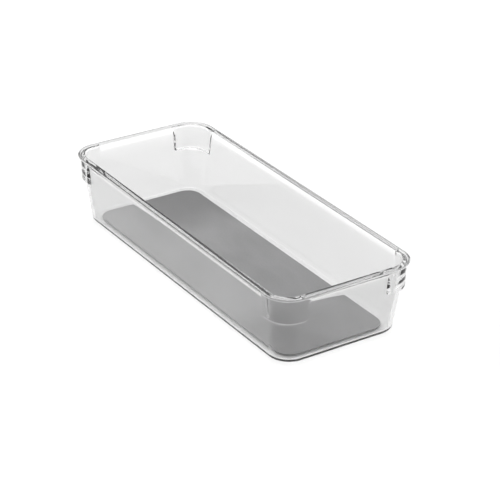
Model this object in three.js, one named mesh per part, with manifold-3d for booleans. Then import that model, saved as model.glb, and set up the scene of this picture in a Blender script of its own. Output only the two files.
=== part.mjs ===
// Clear drawer organizer tray with a soft-grip liner and four non-slip feet.
// Millimetres, +Z up. X runs along the length, Y across the width.
// Origin: centre of the footprint, on the surface that the feet stand on.

import * as THREE from 'three';
import { mergeVertices } from 'three/addons/utils/BufferGeometryUtils.js';
import Module from 'manifold-3d';

// ---------------------------------------------------------------- dimensions
// overall, over the rim flange
const LENGTH = 254;            // X
const WIDTH = 102.5;           // Y
const HEIGHT = 48;             // feet to rim top

// rim flange
const RIM_CORNER_R = 17.5;     // outer corner radius in plan
const RIM_T = 2.13;            // from the rim's top to the lowest point of the lip's round
const RIM_OVERHANG = 2.5;      // flange edge beyond the wall just below it
const RIM_TOP_R = 0.2;         // rounding of the flange's top outer edge
const RIM_INNER_R = 0.33;      // rounding of the mouth's inner edge
const RIM_EDGE_R = 1.8;        // round of the lip under the flange's outer edge
const LIP_ANGLE = 40;          // degrees of that round before the cove takes over
const COVE_Z = 40.2;           // where the cove that blends wall into lip begins

// walls and floor
const WALL_T = 2.2;
const FLOOR_T = 1.5;
const DRAFT = 0.1086;          // horizontal run per mm of height, each side
const WALL_R_TOP = 15.0;       // outer corner radius just below the flange
const WALL_R_BASE = 14.2;      // outer corner radius at the base
const BASE_R = 2.0;            // rounding of the outer bottom edge
const FLOOR_FILLET_R = 1.0;    // fillet between floor and wall, inside

// corner lugs: thickened bands that wrap each corner under the flange
const LUG_REACH = 22;          // along each side, from the flange's outer edge to the middle of the slanted end
const LUG_INSET_TOP = 1.7;     // lug face behind the flange edge, at its top
const LUG_INSET_BASE = 2.2;    // and at its lower edge
const LUG_BASE_Z = 30.1;       // lower edge of the lug's face
const LUG_TOE_Z = 29.8;        // where the lug's underside meets the wall
const LUG_EDGE = 1.7;          // rounding of the lug's lower edge, along each leg

// feet and their seats
const FOOT_H = 1.4;
const FOOT_R = 5.0;
const FOOT_EDGE = 0.35;        // rounding of the foot's tread edge
const FOOT_PROUD = 1.0;        // how far the feet stand below the floor
const SEAT_CLEAR = 0.4;        // radial clearance in the seat
const FOOT_X = 97;
const FOOT_Y = 27;

// liner
const LINER_LENGTH = 225.6;
const LINER_WIDTH = 74.6;
const LINER_R = 10;
const LINER_T = 0.8;
const LINER_EDGE = 0.2;

const CORNER_SEGS = 12;        // facets in each quarter corner

// ------------------------------------------------------------ derived levels
const BASE_Z = FOOT_PROUD;             // underside of the tray floor
const FLOOR_Z = BASE_Z + FLOOR_T;      // floor's upper face
const FLANGE_Z = 45.8;                 // reference height of the wall's draft, just under the flange
const HX = LENGTH / 2;
const HY = WIDTH / 2;

// wall surface: how far it lies behind the flange's outer edge at height z
const wallInset = (z) => RIM_OVERHANG + DRAFT * (FLANGE_Z - z);
const wallRadius = (z) => WALL_R_TOP + (WALL_R_BASE - WALL_R_TOP) * (FLANGE_Z - z) / (FLANGE_Z - BASE_Z);
// a ring parallel to the outer wall at height z, set back by inset from the flange edge
const ring = (z, inset) => ({ z, hx: HX - inset, hy: HY - inset, r: wallRadius(z) - (inset - wallInset(z)) });

// ------------------------------------------------------------------- helpers
const wasm = await Module();
wasm.setup();

function roundedRect(hx, hy, r) {
  const s = new THREE.Shape();
  s.absarc(hx - r, hy - r, r, 0, Math.PI / 2, false);
  s.absarc(-(hx - r), hy - r, r, Math.PI / 2, Math.PI, false);
  s.absarc(-(hx - r), -(hy - r), r, Math.PI, 1.5 * Math.PI, false);
  s.absarc(hx - r, -(hy - r), r, 1.5 * Math.PI, 2 * Math.PI, false);
  s.closePath();
  return s;
}

function merged(geometry) {
  const g = geometry.index ? geometry.toNonIndexed() : geometry.clone();
  g.deleteAttribute('normal');
  g.deleteAttribute('uv');
  return mergeVertices(g, 1e-4);
}

// A stack of rounded rectangles, lowest first, as one closed solid.
function stack(levels) {
  const steps = levels.length - 1;
  const g = new THREE.ExtrudeGeometry(roundedRect(2, 2, 1), {
    depth: steps, steps, bevelEnabled: false, curveSegments: CORNER_SEGS / 2,
  });
  const p = g.getAttribute('position');
  for (let i = 0; i < p.count; i++) {
    const L = levels[Math.round(p.getZ(i))];
    const x = p.getX(i), y = p.getY(i);
    const sx = Math.sign(x), sy = Math.sign(y);
    p.setXYZ(i,
      sx * (L.hx - L.r) + (x - sx) * L.r,
      sy * (L.hy - L.r) + (y - sy) * L.r,
      L.z);
  }
  return merged(g);
}

function toSolid(geometry) {
  const g = merged(geometry);
  return new wasm.Manifold(new wasm.Mesh({
    numProp: 3,
    vertProperties: new Float32Array(g.getAttribute('position').array),
    triVerts: new Uint32Array(g.index.array),
  }));
}

function toGeometry(solid) {
  const m = solid.getMesh();
  const pos = new Float32Array(m.numVert * 3);
  for (let i = 0; i < m.numVert; i++) {
    for (let k = 0; k < 3; k++) pos[i * 3 + k] = m.vertProperties[i * m.numProp + k];
  }
  const g = new THREE.BufferGeometry();
  g.setAttribute('position', new THREE.BufferAttribute(pos, 3));
  g.setIndex(new THREE.BufferAttribute(new Uint32Array(m.triVerts), 1));
  g.computeVertexNormals();
  return g;
}

const lathe = (profile, segments) =>
  new THREE.LatheGeometry(profile.map(([r, z]) => new THREE.Vector2(r, z)), segments).rotateX(Math.PI / 2);

const deg = (a) => a * Math.PI / 180;

// points on a quadratic curve from a to c, bending at b
const quadratic = (a, b, c, n) => Array.from({ length: n + 1 }, (_, k) => {
  const t = k / n;
  return [0, 1].map((i) => (1 - t) ** 2 * a[i] + 2 * t * (1 - t) * b[i] + t * t * c[i]);
});
const toward = (a, b, d) => {
  const l = Math.hypot(b[0] - a[0], b[1] - a[1]);
  return [a[0] + (b[0] - a[0]) * d / l, a[1] + (b[1] - a[1]) * d / l];
};

// ---------------------------------------------------------------- tray shell
const tilt = Math.atan(DRAFT);

function outerLevels() {
  const out = [];
  // rounded bottom edge
  const zc = BASE_Z + BASE_R;
  const ic = wallInset(zc) + BASE_R / Math.cos(tilt);
  for (let k = 0; k <= 4; k++) {
    const a = deg(-90) + (deg(90) - tilt) * k / 4;
    const z = zc + BASE_R * Math.sin(a);
    out.push(ring(z, ic - BASE_R * Math.cos(a)));
  }
  // wall, then the cove that sweeps out into the lip
  const lipC = HEIGHT - RIM_T + RIM_EDGE_R;
  const la = deg(LIP_ANGLE);
  const p0 = [wallInset(COVE_Z), COVE_Z];
  const p2 = [RIM_EDGE_R * (1 - Math.cos(la)), lipC - RIM_EDGE_R * Math.sin(la)];
  const up = [-Math.sin(tilt), Math.cos(tilt)];
  const down = [Math.sin(la), -Math.cos(la)];
  const reach = ((p2[0] - p0[0]) * -down[1] + (p2[1] - p0[1]) * down[0]) / (up[0] * -down[1] + up[1] * down[0]);
  const p1 = [p0[0] + up[0] * reach, p0[1] + up[1] * reach];
  for (const [i, z] of quadratic(p0, p1, p2, 6)) out.push(ring(z, i));
  // round of the lip
  for (let k = 1; k <= 4; k++) {
    const a = la * (1 - k / 4);
    out.push(ring(lipC - RIM_EDGE_R * Math.sin(a), RIM_EDGE_R * (1 - Math.cos(a))));
  }
  // flange's top outer edge
  for (let k = 0; k <= 2; k++) {
    const a = deg(90) * k / 2;
    out.push(ring(HEIGHT - RIM_TOP_R + RIM_TOP_R * Math.sin(a), RIM_TOP_R * (1 - Math.cos(a))));
  }
  return out;
}

function innerLevels() {
  const out = [];
  const inset = (z) => wallInset(z) + WALL_T;
  const zc = FLOOR_Z + FLOOR_FILLET_R;
  const ic = inset(zc) + FLOOR_FILLET_R / Math.cos(tilt);
  for (let k = 0; k <= 4; k++) {
    const a = deg(-90) + (deg(90) - tilt) * k / 4;
    out.push(ring(zc + FLOOR_FILLET_R * Math.sin(a), ic - FLOOR_FILLET_R * Math.cos(a)));
  }
  const z1 = HEIGHT - RIM_INNER_R;
  for (let k = 0; k <= 3; k++) {
    const a = deg(90) * k / 3;
    out.push(ring(z1 + RIM_INNER_R * Math.sin(a), inset(z1) - RIM_INNER_R * (1 - Math.cos(a))));
  }
  out.push(ring(HEIGHT + 2, inset(z1) - RIM_INNER_R));
  return out;
}

const lugRing = (z, inset) => ({ z, hx: HX - inset, hy: HY - inset, r: RIM_CORNER_R - inset });
// a lug's section: underside from within the wall, rounded lower edge, face up into the flange
const lugToe = [wallInset(LUG_TOE_Z), LUG_TOE_Z];
const lugEdge = [LUG_INSET_BASE, LUG_BASE_Z];
const lugTop = [LUG_INSET_TOP, FLANGE_Z];
const lugBand = toSolid(stack([
  toward(lugToe, lugEdge, -0.6),
  ...quadratic(toward(lugEdge, lugToe, LUG_EDGE), lugEdge, toward(lugEdge, lugTop, LUG_EDGE), 6),
  lugTop,
  [LUG_INSET_TOP, FLANGE_Z + 0.6],
].map(([i, z]) => lugRing(z, i))));

let shell = toSolid(stack(outerLevels()));
for (const sx of [1, -1]) {
  for (const sy of [1, -1]) {
    // each lug ends in a face slanted at 45 degrees, which crosses the mid depth at LUG_REACH
    const mid = (LUG_INSET_BASE + wallInset(LUG_TOE_Z)) / 2;
    const near = 5 - LUG_REACH + mid;      // where the slants meet a line 5 mm outside the flange
    const plan = [[near, 5], [5, 5], [5, near], [-12, near - 17], [near - 17, near - 17], [near - 17, -12]];
    const outline = new THREE.Shape(plan.map(([x, y]) => new THREE.Vector2(sx * (HX + x), sy * (HY + y))));
    const block = new THREE.ExtrudeGeometry(outline, { depth: 40, bevelEnabled: false });
    block.translate(0, 0, LUG_TOE_Z - 10);
    shell = shell.add(lugBand.intersect(toSolid(block)));
  }
}
shell = shell.subtract(toSolid(stack(innerLevels())));

// shallow round seats for the feet
const seat = new THREE.CylinderGeometry(FOOT_R + SEAT_CLEAR, FOOT_R + SEAT_CLEAR, 4, 32).rotateX(Math.PI / 2);
for (const sx of [1, -1]) {
  for (const sy of [1, -1]) {
    const s = seat.clone().translate(sx * FOOT_X, sy * FOOT_Y, FOOT_H - 2);
    shell = shell.subtract(toSolid(s));
  }
}

// --------------------------------------------------------------------- liner
const linerRing = (z, inset) => ({
  z, hx: LINER_LENGTH / 2 - inset, hy: LINER_WIDTH / 2 - inset, r: LINER_R - inset,
});
const liner = stack([
  linerRing(FLOOR_Z, 0),
  linerRing(FLOOR_Z + LINER_T - LINER_EDGE, 0),
  linerRing(FLOOR_Z + LINER_T, LINER_EDGE),
]);

// ---------------------------------------------------------------------- feet
// tread at z = 0, bonded face at the top of its seat
const footProfile = [
  [0, 0], [FOOT_R - 0.4 - FOOT_EDGE, 0], [FOOT_R - 0.4, FOOT_EDGE], [FOOT_R, FOOT_H], [0, FOOT_H],
];

// ----------------------------------------------------------------- materials
const clearPlastic = () => new THREE.MeshStandardMaterial({
  color: 0xe8ebec, roughness: 0.06, metalness: 0, transparent: true, opacity: 0.35,
});
const linerRubber = () => new THREE.MeshStandardMaterial({ color: 0x8d8e90, roughness: 0.85, metalness: 0 });
const footRubber = () => new THREE.MeshStandardMaterial({ color: 0xb9babb, roughness: 0.6, metalness: 0 });

// ------------------------------------------------------------------ assembly
const group = new THREE.Group();

function piece(name, geometry, material) {
  geometry.computeVertexNormals();
  const mesh = new THREE.Mesh(geometry, material);
  mesh.name = name;
  group.add(mesh);
  return mesh;
}

piece('tray_shell', toGeometry(shell), clearPlastic());
piece('soft_grip_liner', liner, linerRubber());

const corners = [
  ['foot_front_left', -1, -1],
  ['foot_front_right', 1, -1],
  ['foot_rear_left', -1, 1],
  ['foot_rear_right', 1, 1],
];
for (const [name, sx, sy] of corners) {
  const foot = piece(name, merged(lathe(footProfile, 32)), footRubber());
  foot.position.set(sx * FOOT_X, sy * FOOT_Y, 0);
}

export default group;
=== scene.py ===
import math

import bmesh
import bpy
from mathutils import Matrix, Vector


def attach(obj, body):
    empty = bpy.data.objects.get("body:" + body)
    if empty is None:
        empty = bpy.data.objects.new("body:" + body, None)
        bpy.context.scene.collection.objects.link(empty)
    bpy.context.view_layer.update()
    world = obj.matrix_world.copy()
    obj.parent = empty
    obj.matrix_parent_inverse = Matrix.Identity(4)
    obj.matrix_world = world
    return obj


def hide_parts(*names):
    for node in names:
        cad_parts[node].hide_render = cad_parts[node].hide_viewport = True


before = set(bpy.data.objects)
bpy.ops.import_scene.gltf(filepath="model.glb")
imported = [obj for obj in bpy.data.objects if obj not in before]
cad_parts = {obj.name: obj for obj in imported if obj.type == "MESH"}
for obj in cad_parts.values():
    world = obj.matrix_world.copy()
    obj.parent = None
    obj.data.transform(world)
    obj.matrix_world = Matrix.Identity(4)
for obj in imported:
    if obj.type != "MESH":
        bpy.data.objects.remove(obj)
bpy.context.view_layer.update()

MM = 0.001


# ------------------------------------------------------------------ dimensions
# the tray's own numbers in millimetres
LENGTH, WIDTH, HEIGHT = 254.0, 102.5, 48.0
RIM_CORNER_R, RIM_OVERHANG = 17.5, 2.5
RIM_T = 2.13
RIM_TOP_R, RIM_INNER_R, RIM_EDGE_R, COVE_Z, LIP_ANGLE = 0.2, 0.33, 1.8, 40.2, math.radians(40)
WALL_T, FLOOR_T, DRAFT = 2.2, 1.5, 0.1086
WALL_R_TOP, WALL_R_BASE, BASE_R, FLOOR_FILLET_R = 15.0, 14.2, 2.0, 1.0
LUG_REACH, LUG_INSET_TOP, LUG_INSET_BASE, LUG_BASE_Z, LUG_TOE_Z, LUG_END = 22.0, 1.7, 2.2, 30.1, 29.8, 1.0
LUG_EDGE = 1.7                    # rounding of a lug's lower edge, along each leg
FOOT_H, FOOT_R, FOOT_PROUD, SEAT_CLEAR, FOOT_X, FOOT_Y = 1.4, 5.0, 1.0, 0.4, 97.0, 27.0
TINT, ABSORB = 0.838, 4.5            # loss at each surface, and per metre inside the plastic
SKY, SKY_LOW, SKY_EDGE, SKY_TILT, SKY_BEHIND, SKY_SIDE = 1.857, 0.185, 0.30, 0.10, 0.1, 0.5
# painted shade on the floor: its colour rises from the first value within FLOOR_NEAR mm of the tray's outline to the
# second 120 mm further out
FLOOR_NEAR, FLOOR_ALBEDO = 60.0, (0.725, 0.96)
TOP_LIGHT, LEFT_LIGHT = 0.05, 0.05
LINER_L, LINER_W, LINER_R, LINER_T = 225.6, 74.6, 10.0, 0.8
BASE_Z = FOOT_PROUD
FLOOR_Z = BASE_Z + FLOOR_T
FLANGE_Z = 45.8
LIP_Z = HEIGHT - RIM_T            # lowest point of the lip's round
HX, HY = LENGTH / 2, WIDTH / 2
TILT = math.atan(DRAFT)


def wall_inset(z):
    return RIM_OVERHANG + DRAFT * (FLANGE_Z - z)


def wall_radius(z):
    return WALL_R_TOP + (WALL_R_BASE - WALL_R_TOP) * (FLANGE_Z - z) / (FLANGE_Z - BASE_Z)


# --------------------------------------------------------------- mesh helpers
def link(name, verts, faces, smooth=True):
    me = bpy.data.meshes.new(name)
    me.from_pydata([(x * MM, y * MM, z * MM) for x, y, z in verts], [], faces)
    me.validate()
    me.update()
    ob = bpy.data.objects.new(name, me)
    bpy.context.scene.collection.objects.link(ob)
    if smooth:
        for p in me.polygons:
            p.use_smooth = True
    return ob


def outward(ob):
    bm = bmesh.new()
    bm.from_mesh(ob.data)
    bmesh.ops.recalc_face_normals(bm, faces=bm.faces)
    bm.to_mesh(ob.data)
    bm.free()
    ob.data.update()


def bake_modifiers(ob):
    bpy.context.view_layer.update()
    dg = bpy.context.evaluated_depsgraph_get()
    me = bpy.data.meshes.new_from_object(ob.evaluated_get(dg), depsgraph=dg)
    ob.modifiers.clear()
    ob.data = me
    return ob


def weighted(ob):
    m = ob.modifiers.new("even_normals", "WEIGHTED_NORMAL")
    m.mode = "FACE_AREA"
    m.weight = 90
    m.keep_sharp = True
    return ob


# ------------------------------------------------------------------ tray shell
def arc(n, a0, a1):
    return [a0 + (a1 - a0) * k / n for k in range(n + 1)]


def shell_profiles():
    """Two lists of (inset, z) with the same number of points: a section through a plain wall and one through a
    lug. The third value is how many of the points belong to the outside."""
    plain, lug = [], []

    def both(i, z):
        plain.append((i, z))
        lug.append((i, z))

    # outer bottom edge
    zc = BASE_Z + BASE_R
    ic = wall_inset(zc) + BASE_R / math.cos(TILT)
    both(ic + 1.2, BASE_Z)
    for a in arc(10, -math.pi / 2, -TILT):
        both(ic - BASE_R * math.cos(a), zc + BASE_R * math.sin(a))
    for z in (5.0, 9.0, 14.0, 20.0, 26.0, 28.6):
        both(wall_inset(z), z)
    # the lug's toe, sloping underside and lower edge; a plain wall runs straight on
    corner = (LUG_INSET_BASE, LUG_BASE_Z)
    toe = (wall_inset(LUG_TOE_Z), LUG_TOE_Z)
    sx, sz = corner[0] - toe[0], corner[1] - toe[1]
    sl = math.hypot(sx, sz)
    sx, sz = sx / sl, sz / sl
    zs = [29.0 + 4.0 * k / 21 for k in range(22)]
    pts = []
    r1, r2 = 0.3, LUG_EDGE                       # lengths of the roundings along each leg
    wx, wz = -DRAFT, 1.0
    wl = math.hypot(wx, wz)
    wx, wz = wx / wl, wz / wl
    fx, fz = (LUG_INSET_TOP - LUG_INSET_BASE), (FLANGE_Z - LUG_BASE_Z)
    fl = math.hypot(fx, fz)
    fx, fz = fx / fl, fz / fl

    def bend(p, din, dout, r, n):
        a = (p[0] - din[0] * r, p[1] - din[1] * r)
        b = (p[0] + dout[0] * r, p[1] + dout[1] * r)
        out = []
        for k in range(n + 1):
            t = k / n
            out.append(((1 - t) ** 2 * a[0] + 2 * t * (1 - t) * p[0] + t * t * b[0],
                        (1 - t) ** 2 * a[1] + 2 * t * (1 - t) * p[1] + t * t * b[1]))
        return out

    pts += bend(toe, (wx, wz), (sx, sz), r1, 6)
    pts += bend(corner, (sx, sz), (fx, fz), r2, 14)
    for z, q in zip(zs, pts):
        plain.append((wall_inset(z), z))
        lug.append(q)
    # face of the lug; beside it the wall, which sweeps outward into the lip
    face = lambda z: LUG_INSET_BASE + (LUG_INSET_TOP - LUG_INSET_BASE) * (z - LUG_BASE_Z) / (FLANGE_Z - LUG_BASE_Z)
    lip_c = LIP_Z + RIM_EDGE_R
    p0 = (wall_inset(COVE_Z), COVE_Z)
    p2 = (RIM_EDGE_R * (1 - math.cos(LIP_ANGLE)), lip_c - RIM_EDGE_R * math.sin(LIP_ANGLE))
    up = (-math.sin(TILT), math.cos(TILT))
    down = (math.sin(LIP_ANGLE), -math.cos(LIP_ANGLE))
    det = up[0] * -down[1] + up[1] * down[0]
    t = ((p2[0] - p0[0]) * -down[1] + (p2[1] - p0[1]) * down[0]) / det
    p1 = (p0[0] + up[0] * t, p0[1] + up[1] * t)
    start = math.acos(1 - LUG_INSET_TOP / RIM_EDGE_R)    # where the lug's face meets the lip's round
    meet = lip_c - RIM_EDGE_R * math.sin(start)
    lug_z = [34.0 + (meet - 34.0) * k / 18 for k in range(19)]
    plain.append((wall_inset(36.0), 36.0))
    lug.append((face(lug_z[0]), lug_z[0]))
    plain.append((wall_inset(38.2), 38.2))
    lug.append((face(lug_z[1]), lug_z[1]))
    for k in range(17):
        t = k / 16
        plain.append(((1 - t) ** 2 * p0[0] + 2 * t * (1 - t) * p1[0] + t * t * p2[0],
                      (1 - t) ** 2 * p0[1] + 2 * t * (1 - t) * p1[1] + t * t * p2[1]))
        lug.append((face(lug_z[k + 2]), lug_z[k + 2]))
    # round of the lip; on a lug it starts where the lug's face meets it
    n = 12
    for k in range(1, n + 1):
        ap, al = LIP_ANGLE * (1 - k / n), start * (1 - k / n)
        plain.append((RIM_EDGE_R * (1 - math.cos(ap)), lip_c - RIM_EDGE_R * math.sin(ap)))
        lug.append((RIM_EDGE_R * (1 - math.cos(al)), lip_c - RIM_EDGE_R * math.sin(al)))
    for a in arc(8, 0.0, math.pi / 2):
        both(RIM_TOP_R * (1 - math.cos(a)), HEIGHT - RIM_TOP_R + RIM_TOP_R * math.sin(a))
    outside = len(plain)
    # top face and the mouth's inner edge
    zi = HEIGHT - RIM_INNER_R
    ii = wall_inset(zi) + WALL_T
    both((RIM_TOP_R + ii - RIM_INNER_R) / 2, HEIGHT)
    for a in arc(8, math.pi / 2, 0.0):
        both(ii - RIM_INNER_R * (1 - math.cos(a)), zi + RIM_INNER_R * math.sin(a))
    # inside of the wall
    for z in (46.0, 43.5, 41.0, 38.5, 36.0, 34.0, 32.0, 30.4):
        both(wall_inset(z) + WALL_T, z)
    for z in (28.8, 24.0, 18.0, 12.0, 7.0, 5.0):
        both(wall_inset(z) + WALL_T, z)
    zc = FLOOR_Z + FLOOR_FILLET_R
    ic = wall_inset(zc) + WALL_T + FLOOR_FILLET_R / math.cos(TILT)
    for a in arc(12, -TILT, -math.pi / 2):
        both(ic - FLOOR_FILLET_R * math.cos(a), zc + FLOOR_FILLET_R * math.sin(a))
    both(ic + 1.2, FLOOR_Z)
    return plain, lug, outside


def shell_columns():
    """Once round the plan: ("arc", quadrant, angle) or ("side", quadrant, which, setting)."""
    cols = []
    n_arc = 28
    sig = [LUG_END * t for t in (-1.2, -1.1, -1.0, -0.9, -0.8, -0.4, 0.0, 0.4, 0.8, 0.9, 1.0, 1.1, 1.2)]
    for q in range(4):
        # the side that leads into this corner, then the arc, then the side that leaves it
        cols += [("in", q, f) for f in (0.0, 0.25, 0.5, 0.75)]
        cols += [("lug_in", q, s) for s in reversed(sig)]
        cols += [("pre", q, 1 - k / 4) for k in range(4)]
        cols += [("arc", q, math.pi / 2 * k / n_arc) for k in range(n_arc + 1)]
        cols += [("post", q, (k + 1) / 4) for k in range(4)]
        cols += [("lug_out", q, s) for s in sig]
        cols += [("out", q, f) for f in (0.75, 0.5, 0.25)]
    return cols


SIGNS = [(1, 1), (-1, 1), (-1, -1), (1, -1)]


def ramp_share(s, e=LUG_END, soft=0.1):
    """A straight ramp over -e..e, softly rounded where it starts and ends."""
    t = (s + e) / (2 * e)
    if t <= -soft:
        return 0.0
    if t < soft:
        return (t + soft) ** 2 / (4 * soft)
    if t <= 1 - soft:
        return t
    if t < 1 + soft:
        return 1 - (1 + soft - t) ** 2 / (4 * soft)
    return 1.0


def column_point(col, inset, z, lug, inside=False):
    """The point of one column at an inset behind the flange edge, on the plain wall's ring or the lug's. The inside
    argument is not used.
    """
    kind, q, v = col
    hx, hy = HX - inset, HY - inset
    r = RIM_CORNER_R - inset if lug else wall_radius(z) - (inset - wall_inset(z))
    cx, cy = hx - r, hy - r
    # where the lug's end lies; lower down it keeps its distance from the corner's arc
    zz = max(z, 28.8)
    base_r = wall_radius(zz)
    ax = HX - wall_inset(zz) - base_r
    ay = HY - wall_inset(zz) - base_r
    gap_x = (cx if lug else ax) - (HX - LUG_REACH)
    gap_y = (cy if lug else ay) - (HY - LUG_REACH)
    sx, sy = SIGNS[q]
    even = q % 2 == 0                  # quadrants 0 and 2: the side leading in runs along Y
    if kind == "arc":
        a = v if even else math.pi / 2 - v
        return sx * (cx + r * math.cos(a)), sy * (cy + r * math.sin(a))
    on_x = (kind in ("in", "lug_in", "pre")) == even      # this side is a face of constant x
    if on_x:
        gap, c, fixed = gap_y, cy, hx
    else:
        gap, c, fixed = gap_x, cx, hy
    end = c - gap
    if kind in ("lug_in", "lug_out"):
        along = end - v
    elif kind in ("pre", "post"):
        along = c - (gap - 1.4 * LUG_END) * v
    else:
        along = (end - 1.5 * LUG_END) * v
        if kind == "in" and v == 0.0:
            along = 0.0
    return (sx * fixed, sy * along) if on_x else (sx * along, sy * fixed)


def lug_share(col):
    """How far a column belongs to the lug."""
    kind, _, v = col
    if kind in ("arc", "pre", "post"):
        return 1.0
    if kind in ("lug_in", "lug_out"):
        return 1.0 - ramp_share(v)
    return 0.0


def build_shell():
    plain, lug, outside = shell_profiles()
    assert len(plain) == len(lug)
    cols = shell_columns()
    n, m = len(cols), len(plain)
    verts = []
    for col in cols:
        share = lug_share(col)
        for k, ((ip, zp), (il, zl)) in enumerate(zip(plain, lug)):
            w = share if k < outside else 0.0
            x, y = column_point(col, ip, zp, False, k >= outside)
            z = zp
            if w > 0 and (ip, zp) != (il, zl):
                xl, yl = column_point(col, il, zl, True)
                x, y, z = x + (xl - x) * w, y + (yl - y) * w, zp + (zl - zp) * w
            verts.append((x, y, z))
    faces = []
    for i in range(n):
        j = (i + 1) % n
        for k in range(m - 1):
            faces.append((i * m + k, j * m + k, j * m + k + 1, i * m + k + 1))
    faces.append([i * m for i in range(n)])                  # underside
    faces.append([i * m + m - 1 for i in reversed(range(n))])    # floor inside
    ob = link("tray_shell_clear", verts, faces)
    outward(ob)
    return ob


def disc_cutter(name, x, y, r, z0, z1, seg=64):
    verts, faces = [], []
    for z in (z0, z1):
        for k in range(seg):
            a = 2 * math.pi * k / seg
            verts.append((x + r * math.cos(a), y + r * math.sin(a), z))
    for k in range(seg):
        j = (k + 1) % seg
        faces.append((k, j, seg + j, seg + k))
    faces.append(list(reversed(range(seg))))
    faces.append([seg + k for k in range(seg)])
    ob = link(name, verts, faces, smooth=False)
    outward(ob)
    return ob


shell = build_shell()
cutters = [disc_cutter("cut_%d" % i, sx * FOOT_X, sy * FOOT_Y, FOOT_R + SEAT_CLEAR, -2.0, FOOT_H)
           for i, (sx, sy) in enumerate(SIGNS)]
for c in cutters:
    b = shell.modifiers.new("seat", "BOOLEAN")
    b.operation = "DIFFERENCE"
    b.solver = "EXACT"
    b.object = c
bake_modifiers(shell)
for c in cutters:
    bpy.data.objects.remove(c)
for p in shell.data.polygons:
    p.use_smooth = True
weighted(shell)


# ----------------------------------------------------------------------- liner
def rounded_ring(hx, hy, r, z, n=20):
    out = []
    for q, (sx, sy) in enumerate(SIGNS):
        for k in range(n + 1):
            a = math.pi / 2 * k / n
            if q % 2:
                a = math.pi / 2 - a
            out.append((sx * (hx - r + r * math.cos(a)), sy * (hy - r + r * math.sin(a)), z))
    return out


def build_liner():
    hx, hy, r = LINER_L / 2, LINER_W / 2, LINER_R
    z0, z1 = FLOOR_Z, FLOOR_Z + LINER_T
    rows = [(0.25, z0 - 0.05), (0.1, z0 - 0.05), (0.0, z0 + 0.05), (0.0, z0 + 0.3), (0.0, z1 - 0.3)]
    for k in range(1, 7):
        a = math.pi / 2 * k / 6
        rows.append((0.3 * (1 - math.cos(a)), z1 - 0.3 + 0.3 * math.sin(a)))
    rows += [(0.8, z1), (2.0, z1)]
    verts, faces = [], []
    for i, z in rows:
        verts += rounded_ring(hx - i, hy - i, r - i, z)
    n = len(verts) // len(rows)
    for k in range(len(rows) - 1):
        for i in range(n):
            j = (i + 1) % n
            faces.append((k * n + i, k * n + j, (k + 1) * n + j, (k + 1) * n + i))
    faces.append([i for i in reversed(range(n))])
    faces.append([(len(rows) - 1) * n + i for i in range(n)])
    ob = link("soft_grip_liner_sheet", verts, faces)
    outward(ob)
    return weighted(ob)


liner = build_liner()


# ------------------------------------------------------------------------ feet
def lathe(name, profile, seg=64, x=0.0, y=0.0):
    """profile runs from the axis at the bottom to the axis at the top."""
    verts, faces = [], []
    first, last = profile[0], profile[-1]
    verts.append((x, y, first[1]))
    for r, z in profile[1:-1]:
        for k in range(seg):
            a = 2 * math.pi * k / seg
            verts.append((x + r * math.cos(a), y + r * math.sin(a), z))
    verts.append((x, y, last[1]))
    rows = len(profile) - 2
    for k in range(seg):
        j = (k + 1) % seg
        faces.append((0, 1 + j, 1 + k))
        for i in range(rows - 1):
            a, b = 1 + i * seg, 1 + (i + 1) * seg
            faces.append((a + k, a + j, b + j, b + k))
        a = 1 + (rows - 1) * seg
        faces.append((a + k, a + j, len(verts) - 1))
    ob = link(name, verts, faces)
    outward(ob)
    return weighted(ob)


def foot_profile():
    r0, r1, e = FOOT_R - 0.4, FOOT_R, 0.4
    pts = [(0.0, 0.18), (1.2, 0.18)]
    # shallow dished centre, then the tread ring
    for k in range(1, 6):
        t = k / 5
        s = t * t * (3 - 2 * t)
        pts.append((1.2 + 1.0 * t, 0.18 * (1 - s)))
    pts.append((r0 - e - 0.6, 0.0))
    for k in range(7):
        a = -math.pi / 2 + math.pi / 2 * k / 6
        pts.append((r0 - e + e * math.cos(a), e + e * math.sin(a)))
    pts += [(r0 + 0.2, FOOT_H * 0.6), (r1 - 0.05, FOOT_H - 0.12), (r1 - 0.12, FOOT_H), (r1 - 1.0, FOOT_H), (0.0, FOOT_H)]
    return pts


feet = []
for name, sx, sy in (("foot_front_left", -1, -1), ("foot_front_right", 1, -1),
                     ("foot_rear_left", -1, 1), ("foot_rear_right", 1, 1)):
    feet.append((name, lathe(name + "_pad", foot_profile(), x=sx * FOOT_X, y=sy * FOOT_Y)))


# ------------------------------------------------------------------- materials
def new_material(name):
    m = bpy.data.materials.new(name)
    m.use_nodes = True
    nt = m.node_tree
    nt.nodes.clear()
    out = nt.nodes.new("ShaderNodeOutputMaterial")
    return m, nt, out


def node(nt, kind, **values):
    n = nt.nodes.new(kind)
    for k, v in values.items():
        if k in n.inputs:
            n.inputs[k].default_value = v
        else:
            setattr(n, k, v)
    return n


def object_coords(nt, scale=(1, 1, 1)):
    tc = nt.nodes.new("ShaderNodeTexCoord")
    mp = nt.nodes.new("ShaderNodeMapping")
    mp.inputs["Scale"].default_value = scale
    nt.links.new(tc.outputs["Object"], mp.inputs["Vector"])
    return mp.outputs["Vector"]


def noise(nt, vector, scale, detail=3.0, rough=0.5, distortion=0.0):
    n = node(nt, "ShaderNodeTexNoise", Scale=scale, Detail=detail, Roughness=rough, Distortion=distortion)
    nt.links.new(vector, n.inputs["Vector"])
    return n.outputs["Fac"]


def ramp(nt, fac, stops):
    r = nt.nodes.new("ShaderNodeValToRGB")
    els = r.color_ramp.elements
    while len(els) < len(stops):
        els.new(0.5)
    for e, (p, c) in zip(els, stops):
        e.position = p
        e.color = (c, c, c, 1) if isinstance(c, (int, float)) else (*c, 1)
    nt.links.new(fac, r.inputs["Fac"])
    return r.outputs["Color"]


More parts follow.
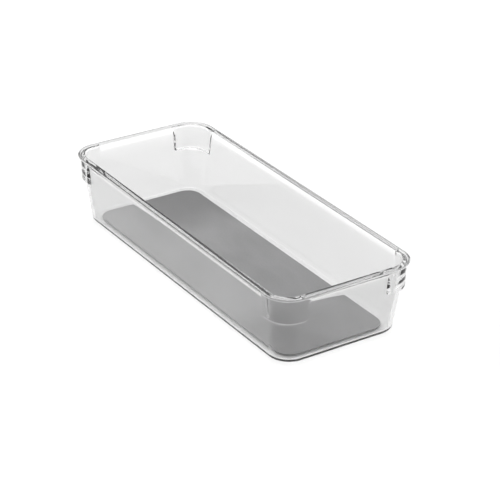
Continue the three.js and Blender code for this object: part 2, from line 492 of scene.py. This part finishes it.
def bump(nt, height, strength, distance, normal=None):
    b = node(nt, "ShaderNodeBump", Strength=strength, Distance=distance)
    nt.links.new(height, b.inputs["Height"])
    if normal is not None:
        nt.links.new(normal, b.inputs["Normal"])
    return b.outputs["Normal"]


def clear_plastic():
    m, nt, out = new_material("clear_styrene")
    p = node(nt, "ShaderNodeBsdfPrincipled", IOR=1.50, Metallic=0.0)
    p.inputs["Transmission Weight"].default_value = 1.0
    p.inputs["Base Color"].default_value = (TINT, TINT, TINT, 1)
    # handling haze: a few faintly duller patches on an otherwise polished surface
    v = object_coords(nt)
    patches = noise(nt, v, 22.0, 4.0, 0.6)
    nt.links.new(ramp(nt, patches, [(0.35, 0.004), (0.62, 0.02), (0.8, 0.045)]), p.inputs["Roughness"])
    # moulding: very long, shallow waves left by the flow of the melt
    waves = noise(nt, object_coords(nt, (14.0, 22.0, 18.0)), 1.0, 2.0, 0.45)
    nt.links.new(bump(nt, waves, 0.25, 0.0006), p.inputs["Normal"])
    lp = nt.nodes.new("ShaderNodeLightPath")
    tr = node(nt, "ShaderNodeBsdfTransparent", Color=(0.9, 0.9, 0.9, 1))
    mix = nt.nodes.new("ShaderNodeMixShader")
    nt.links.new(lp.outputs["Is Shadow Ray"], mix.inputs[0])
    nt.links.new(p.outputs[0], mix.inputs[1])
    nt.links.new(tr.outputs[0], mix.inputs[2])
    nt.links.new(mix.outputs[0], out.inputs["Surface"])
    body = node(nt, "ShaderNodeVolumeAbsorption", Color=(0.5, 0.5, 0.5, 1), Density=ABSORB * 2)
    nt.links.new(body.outputs[0], out.inputs["Volume"])
    return m


def grip_rubber():
    m, nt, out = new_material("grip_rubber_grey")
    p = node(nt, "ShaderNodeBsdfPrincipled", IOR=1.45, Metallic=0.0)
    p.inputs["Sheen Weight"].default_value = 0.15
    p.inputs["Sheen Roughness"].default_value = 0.5
    p.inputs["Specular IOR Level"].default_value = 0.3
    v = object_coords(nt)
    broad = noise(nt, v, 12.0, 3.0, 0.55)
    fine = noise(nt, v, 900.0, 3.0, 0.6)
    base = ramp(nt, broad, [(0.3, (0.19, 0.19, 0.192)), (0.7, (0.222, 0.222, 0.224))])
    # painted shade and painted light, not the rubber's own tone: the sheet is darkened towards two of its corners
    # and at mid length and lightened at a third, standing in for how light falls inside the tray
    sep = nt.nodes.new("ShaderNodeSeparateXYZ")
    tc = nt.nodes.new("ShaderNodeTexCoord")
    nt.links.new(tc.outputs["Object"], sep.inputs[0])

    def fade(axis, a, b):
        r = nt.nodes.new("ShaderNodeMapRange")
        r.interpolation_type = "SMOOTHSTEP"
        r.inputs["From Min"].default_value = a * MM
        r.inputs["From Max"].default_value = b * MM
        nt.links.new(sep.outputs[axis], r.inputs["Value"])
        return r.outputs["Result"]

    def calc(op, a, b, c=0.0):
        n = nt.nodes.new("ShaderNodeMath")
        n.operation = op
        for i, v in enumerate((a, b, c)):
            if isinstance(v, (int, float)):
                n.inputs[i].default_value = v
            else:
                nt.links.new(v, n.inputs[i])
        return n.outputs[0]

    # masks for the painted shade at two corners and at mid length, and for the painted light at a third; together
    # they scale the sheet's colour
    left = calc("MULTIPLY", fade("X", -42, -92), fade("Y", -25, 12))
    right = calc("MULTIPLY", fade("X", 45, 88), fade("Y", 32, -22))
    mid_length_shade = calc("MULTIPLY", calc("MULTIPLY", fade("X", -34, -4), fade("X", 34, 4)), fade("Y", -8, -24))
    painted_light_patch = calc("MULTIPLY", fade("X", -58, -84), fade("Y", -10, -26))
    painted_shading = calc("MULTIPLY_ADD", left, -0.34, 1.0)
    painted_shading = calc("MULTIPLY_ADD", right, -0.36, painted_shading)
    painted_shading = calc("MULTIPLY_ADD", mid_length_shade, -0.12, painted_shading)
    painted_shading = calc("MULTIPLY_ADD", painted_light_patch, 0.10, painted_shading)
    # painted reflection: long soft light and dark streaks laid into the sheet's colour
    painted_reflection_streaks = noise(nt, object_coords(nt, (16.0, 34.0, 1.0)), 1.0, 2.0, 0.5, 0.6)
    painted_shading = calc("MULTIPLY", painted_shading, calc("MULTIPLY_ADD", painted_reflection_streaks, 0.5, 0.75))
    toned = nt.nodes.new("ShaderNodeVectorMath")
    toned.operation = "SCALE"
    nt.links.new(base, toned.inputs[0])
    nt.links.new(painted_shading, toned.inputs["Scale"])
    mix = nt.nodes.new("ShaderNodeMix")
    mix.data_type = "RGBA"
    mix.blend_type = "MULTIPLY"
    mix.inputs["Factor"].default_value = 0.35
    nt.links.new(toned.outputs["Vector"], mix.inputs["A"])
    nt.links.new(ramp(nt, fine, [(0.3, 0.8), (0.7, 1.0)]), mix.inputs["B"])
    nt.links.new(mix.outputs["Result"], p.inputs["Base Color"])
    nt.links.new(ramp(nt, fine, [(0.3, 0.86), (0.7, 0.7)]), p.inputs["Roughness"])
    grain = noise(nt, v, 1500.0, 4.0, 0.6)
    nt.links.new(bump(nt, grain, 0.35, 0.00015), p.inputs["Normal"])
    nt.links.new(p.outputs[0], out.inputs["Surface"])
    return m


def foot_rubber():
    m, nt, out = new_material("foot_elastomer")
    p = node(nt, "ShaderNodeBsdfPrincipled", IOR=1.48, Metallic=0.0)
    p.inputs["Subsurface Weight"].default_value = 0.25
    p.inputs["Subsurface Scale"].default_value = 0.002
    v = object_coords(nt)
    broad = noise(nt, v, 60.0, 3.0, 0.5)
    nt.links.new(ramp(nt, broad, [(0.3, 0.40), (0.7, 0.5)]), p.inputs["Base Color"])
    nt.links.new(ramp(nt, broad, [(0.3, 0.38), (0.7, 0.55)]), p.inputs["Roughness"])
    grain = noise(nt, v, 2600.0, 3.0, 0.6)
    nt.links.new(bump(nt, grain, 0.25, 0.0001), p.inputs["Normal"])
    nt.links.new(p.outputs[0], out.inputs["Surface"])
    return m


def studio_floor():
    m, nt, out = new_material("studio_white")
    p = node(nt, "ShaderNodeBsdfPrincipled", Roughness=0.9, Metallic=0.0)
    p.inputs["Specular IOR Level"].default_value = 0.1
    # painted shade: the floor's colour is darker right around the tray and brighter away from it, standing in for
    # light falling off near the tray
    tc = nt.nodes.new("ShaderNodeTexCoord")
    last = tc.outputs["Object"]
    for op, arg in (("ABSOLUTE", None), ("SUBTRACT", (LENGTH / 2 * MM, WIDTH / 2 * MM, 0)), ("MAXIMUM", (0, 0, 0)), ("LENGTH", None)):
        vm = nt.nodes.new("ShaderNodeVectorMath")
        vm.operation = op
        nt.links.new(last, vm.inputs[0])
        if arg is not None:
            vm.inputs[1].default_value = arg
        last = vm.outputs["Value" if op == "LENGTH" else "Vector"]
    mr = nt.nodes.new("ShaderNodeMapRange")
    mr.inputs["From Min"].default_value = FLOOR_NEAR * MM
    mr.inputs["From Max"].default_value = (FLOOR_NEAR + 120) * MM
    mr.inputs["To Min"].default_value = FLOOR_ALBEDO[0]
    mr.inputs["To Max"].default_value = FLOOR_ALBEDO[1]
    nt.links.new(last, mr.inputs["Value"])
    nt.links.new(mr.outputs["Result"], p.inputs["Base Color"])
    nt.links.new(p.outputs[0], out.inputs["Surface"])
    return m


def dress(ob, mat):
    ob.data.materials.clear()
    ob.data.materials.append(mat)
    for p in ob.data.polygons:
        p.material_index = 0


dress(shell, clear_plastic())
dress(liner, grip_rubber())
foot_mat = foot_rubber()
for _, f in feet:
    dress(f, foot_mat)

# --------------------------------------------------------------- tie to the CAD
for ob, nodes, slot in [(shell, ["tray_shell"], "clear_plastic"), (liner, ["soft_grip_liner"], "liner_rubber")] + \
        [(f, [n], "foot_rubber") for n, f in feet]:
    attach(ob, "root")
    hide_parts(*nodes)

# ---------------------------------------------------------------------- studio
floor = link("studio_floor", [(-6000, -6000, 0), (6000, -6000, 0), (6000, 6000, 0), (-6000, 6000, 0)], [(0, 1, 2, 3)], smooth=False)
dress(floor, studio_floor())

world = bpy.data.worlds.new("studio")
bpy.context.scene.world = world
world.use_nodes = True
wn = world.node_tree
wn.nodes.clear()
wo = wn.nodes.new("ShaderNodeOutputWorld")
wb = wn.nodes.new("ShaderNodeBackground")
wb.inputs["Color"].default_value = (1, 1, 1, 1)
wn.links.new(wb.outputs[0], wo.inputs["Surface"])
wt = wn.nodes.new("ShaderNodeTexCoord")


def w_math(op, a, b=None, c=None, clamp=False):
    n = wn.nodes.new("ShaderNodeMath")
    n.operation = op
    n.use_clamp = clamp
    for i, v in enumerate((a, b, c)):
        if v is None:
            continue
        if isinstance(v, (int, float)):
            n.inputs[i].default_value = v
        else:
            wn.links.new(v, n.inputs[i])
    return n.outputs[0]


def w_dot(axis):
    n = wn.nodes.new("ShaderNodeVectorMath")
    n.operation = "DOT_PRODUCT"
    n.inputs[1].default_value = axis
    wn.links.new(wt.outputs["Generated"], n.inputs[0])
    return n.outputs["Value"]


# a white room: bright overhead, dimmer towards the walls, dimmest to the left and right of the tray
toward_back, toward_side, up_amount = w_dot((-0.834, 0.552, 0.0)), w_dot((0.546, 0.838, 0.0)), w_dot((0.0, 0.0, 1.0))
low = w_math("SUBTRACT", 1.0, w_math("ABSOLUTE", up_amount))
e = w_math("DIVIDE", w_math("SUBTRACT", up_amount, SKY_EDGE), 0.35, clamp=True)
overhead = w_math("MULTIPLY", w_math("MULTIPLY", e, e), w_math("MULTIPLY_ADD", e, -2.0, 3.0))
sky = w_math("MULTIPLY_ADD", overhead, SKY - SKY_LOW, SKY_LOW)
sky = w_math("MULTIPLY_ADD", toward_back, SKY_TILT, sky)
behind = w_math("MULTIPLY", w_math("MAXIMUM", toward_back, 0.0), w_math("POWER", low, 3.0))
sky = w_math("MULTIPLY_ADD", behind, SKY_BEHIND, sky)
aside = w_math("MULTIPLY", w_math("MULTIPLY", toward_side, toward_side), low)
sky = w_math("MULTIPLY_ADD", aside, -SKY_SIDE, sky)
wn.links.new(w_math("MAXIMUM", sky, 0.02), wb.inputs["Strength"])


def softbox(name, at, aim, size, power):
    d = bpy.data.lights.new(name, "AREA")
    d.shape = "RECTANGLE"
    d.size, d.size_y = size
    d.energy = power
    o = bpy.data.objects.new(name, d)
    bpy.context.scene.collection.objects.link(o)
    o.location = at
    o.rotation_euler = (Vector(aim) - Vector(at)).to_track_quat("-Z", "Y").to_euler()
    return o


softbox("softbox_top", (0.1, 0.3, 1.6), (0, 0, 0), (1.6, 1.6), TOP_LIGHT)
softbox("softbox_left", (-1.4, -0.9, 0.9), (0, 0, 0.02), (0.9, 0.9), LEFT_LIGHT)

# ---------------------------------------------------------------------- camera
CAM_AT = Vector((0.9166299, -0.59385983, 0.58081059))
CAM_RIGHT = Vector((0.54602137, 0.83768927, 0.01171933))
CAM_UP = Vector((-0.39137362, 0.24268622, 0.88765426))
back = CAM_RIGHT.cross(CAM_UP).normalized()
cam_data = bpy.data.cameras.new("camera")
cam = bpy.data.objects.new("camera", cam_data)
bpy.context.scene.collection.objects.link(cam)
cam.matrix_world = Matrix((
    (CAM_RIGHT.x, CAM_UP.x, back.x, CAM_AT.x),
    (CAM_RIGHT.y, CAM_UP.y, back.y, CAM_AT.y),
    (CAM_RIGHT.z, CAM_UP.z, back.z, CAM_AT.z),
    (0, 0, 0, 1)))
cam_data.sensor_width = 36.0
cam_data.lens = 1913.384 / 500 * 36.0
cam_data.clip_start, cam_data.clip_end = 0.01, 50.0
bpy.context.scene.camera = cam

scene = bpy.context.scene
scene.view_settings.view_transform = "Standard"
scene.view_settings.look = "None"
scene.view_settings.exposure = 0.0
scene.view_settings.gamma = 1.0
scene.cycles.max_bounces = 24
scene.cycles.transmission_bounces = 20
scene.cycles.glossy_bounces = 10
scene.cycles.diffuse_bounces = 5
scene.cycles.transparent_max_bounces = 16
scene.cycles.sample_clamp_indirect = 8.0
scene.cycles.blur_glossy = 0.3
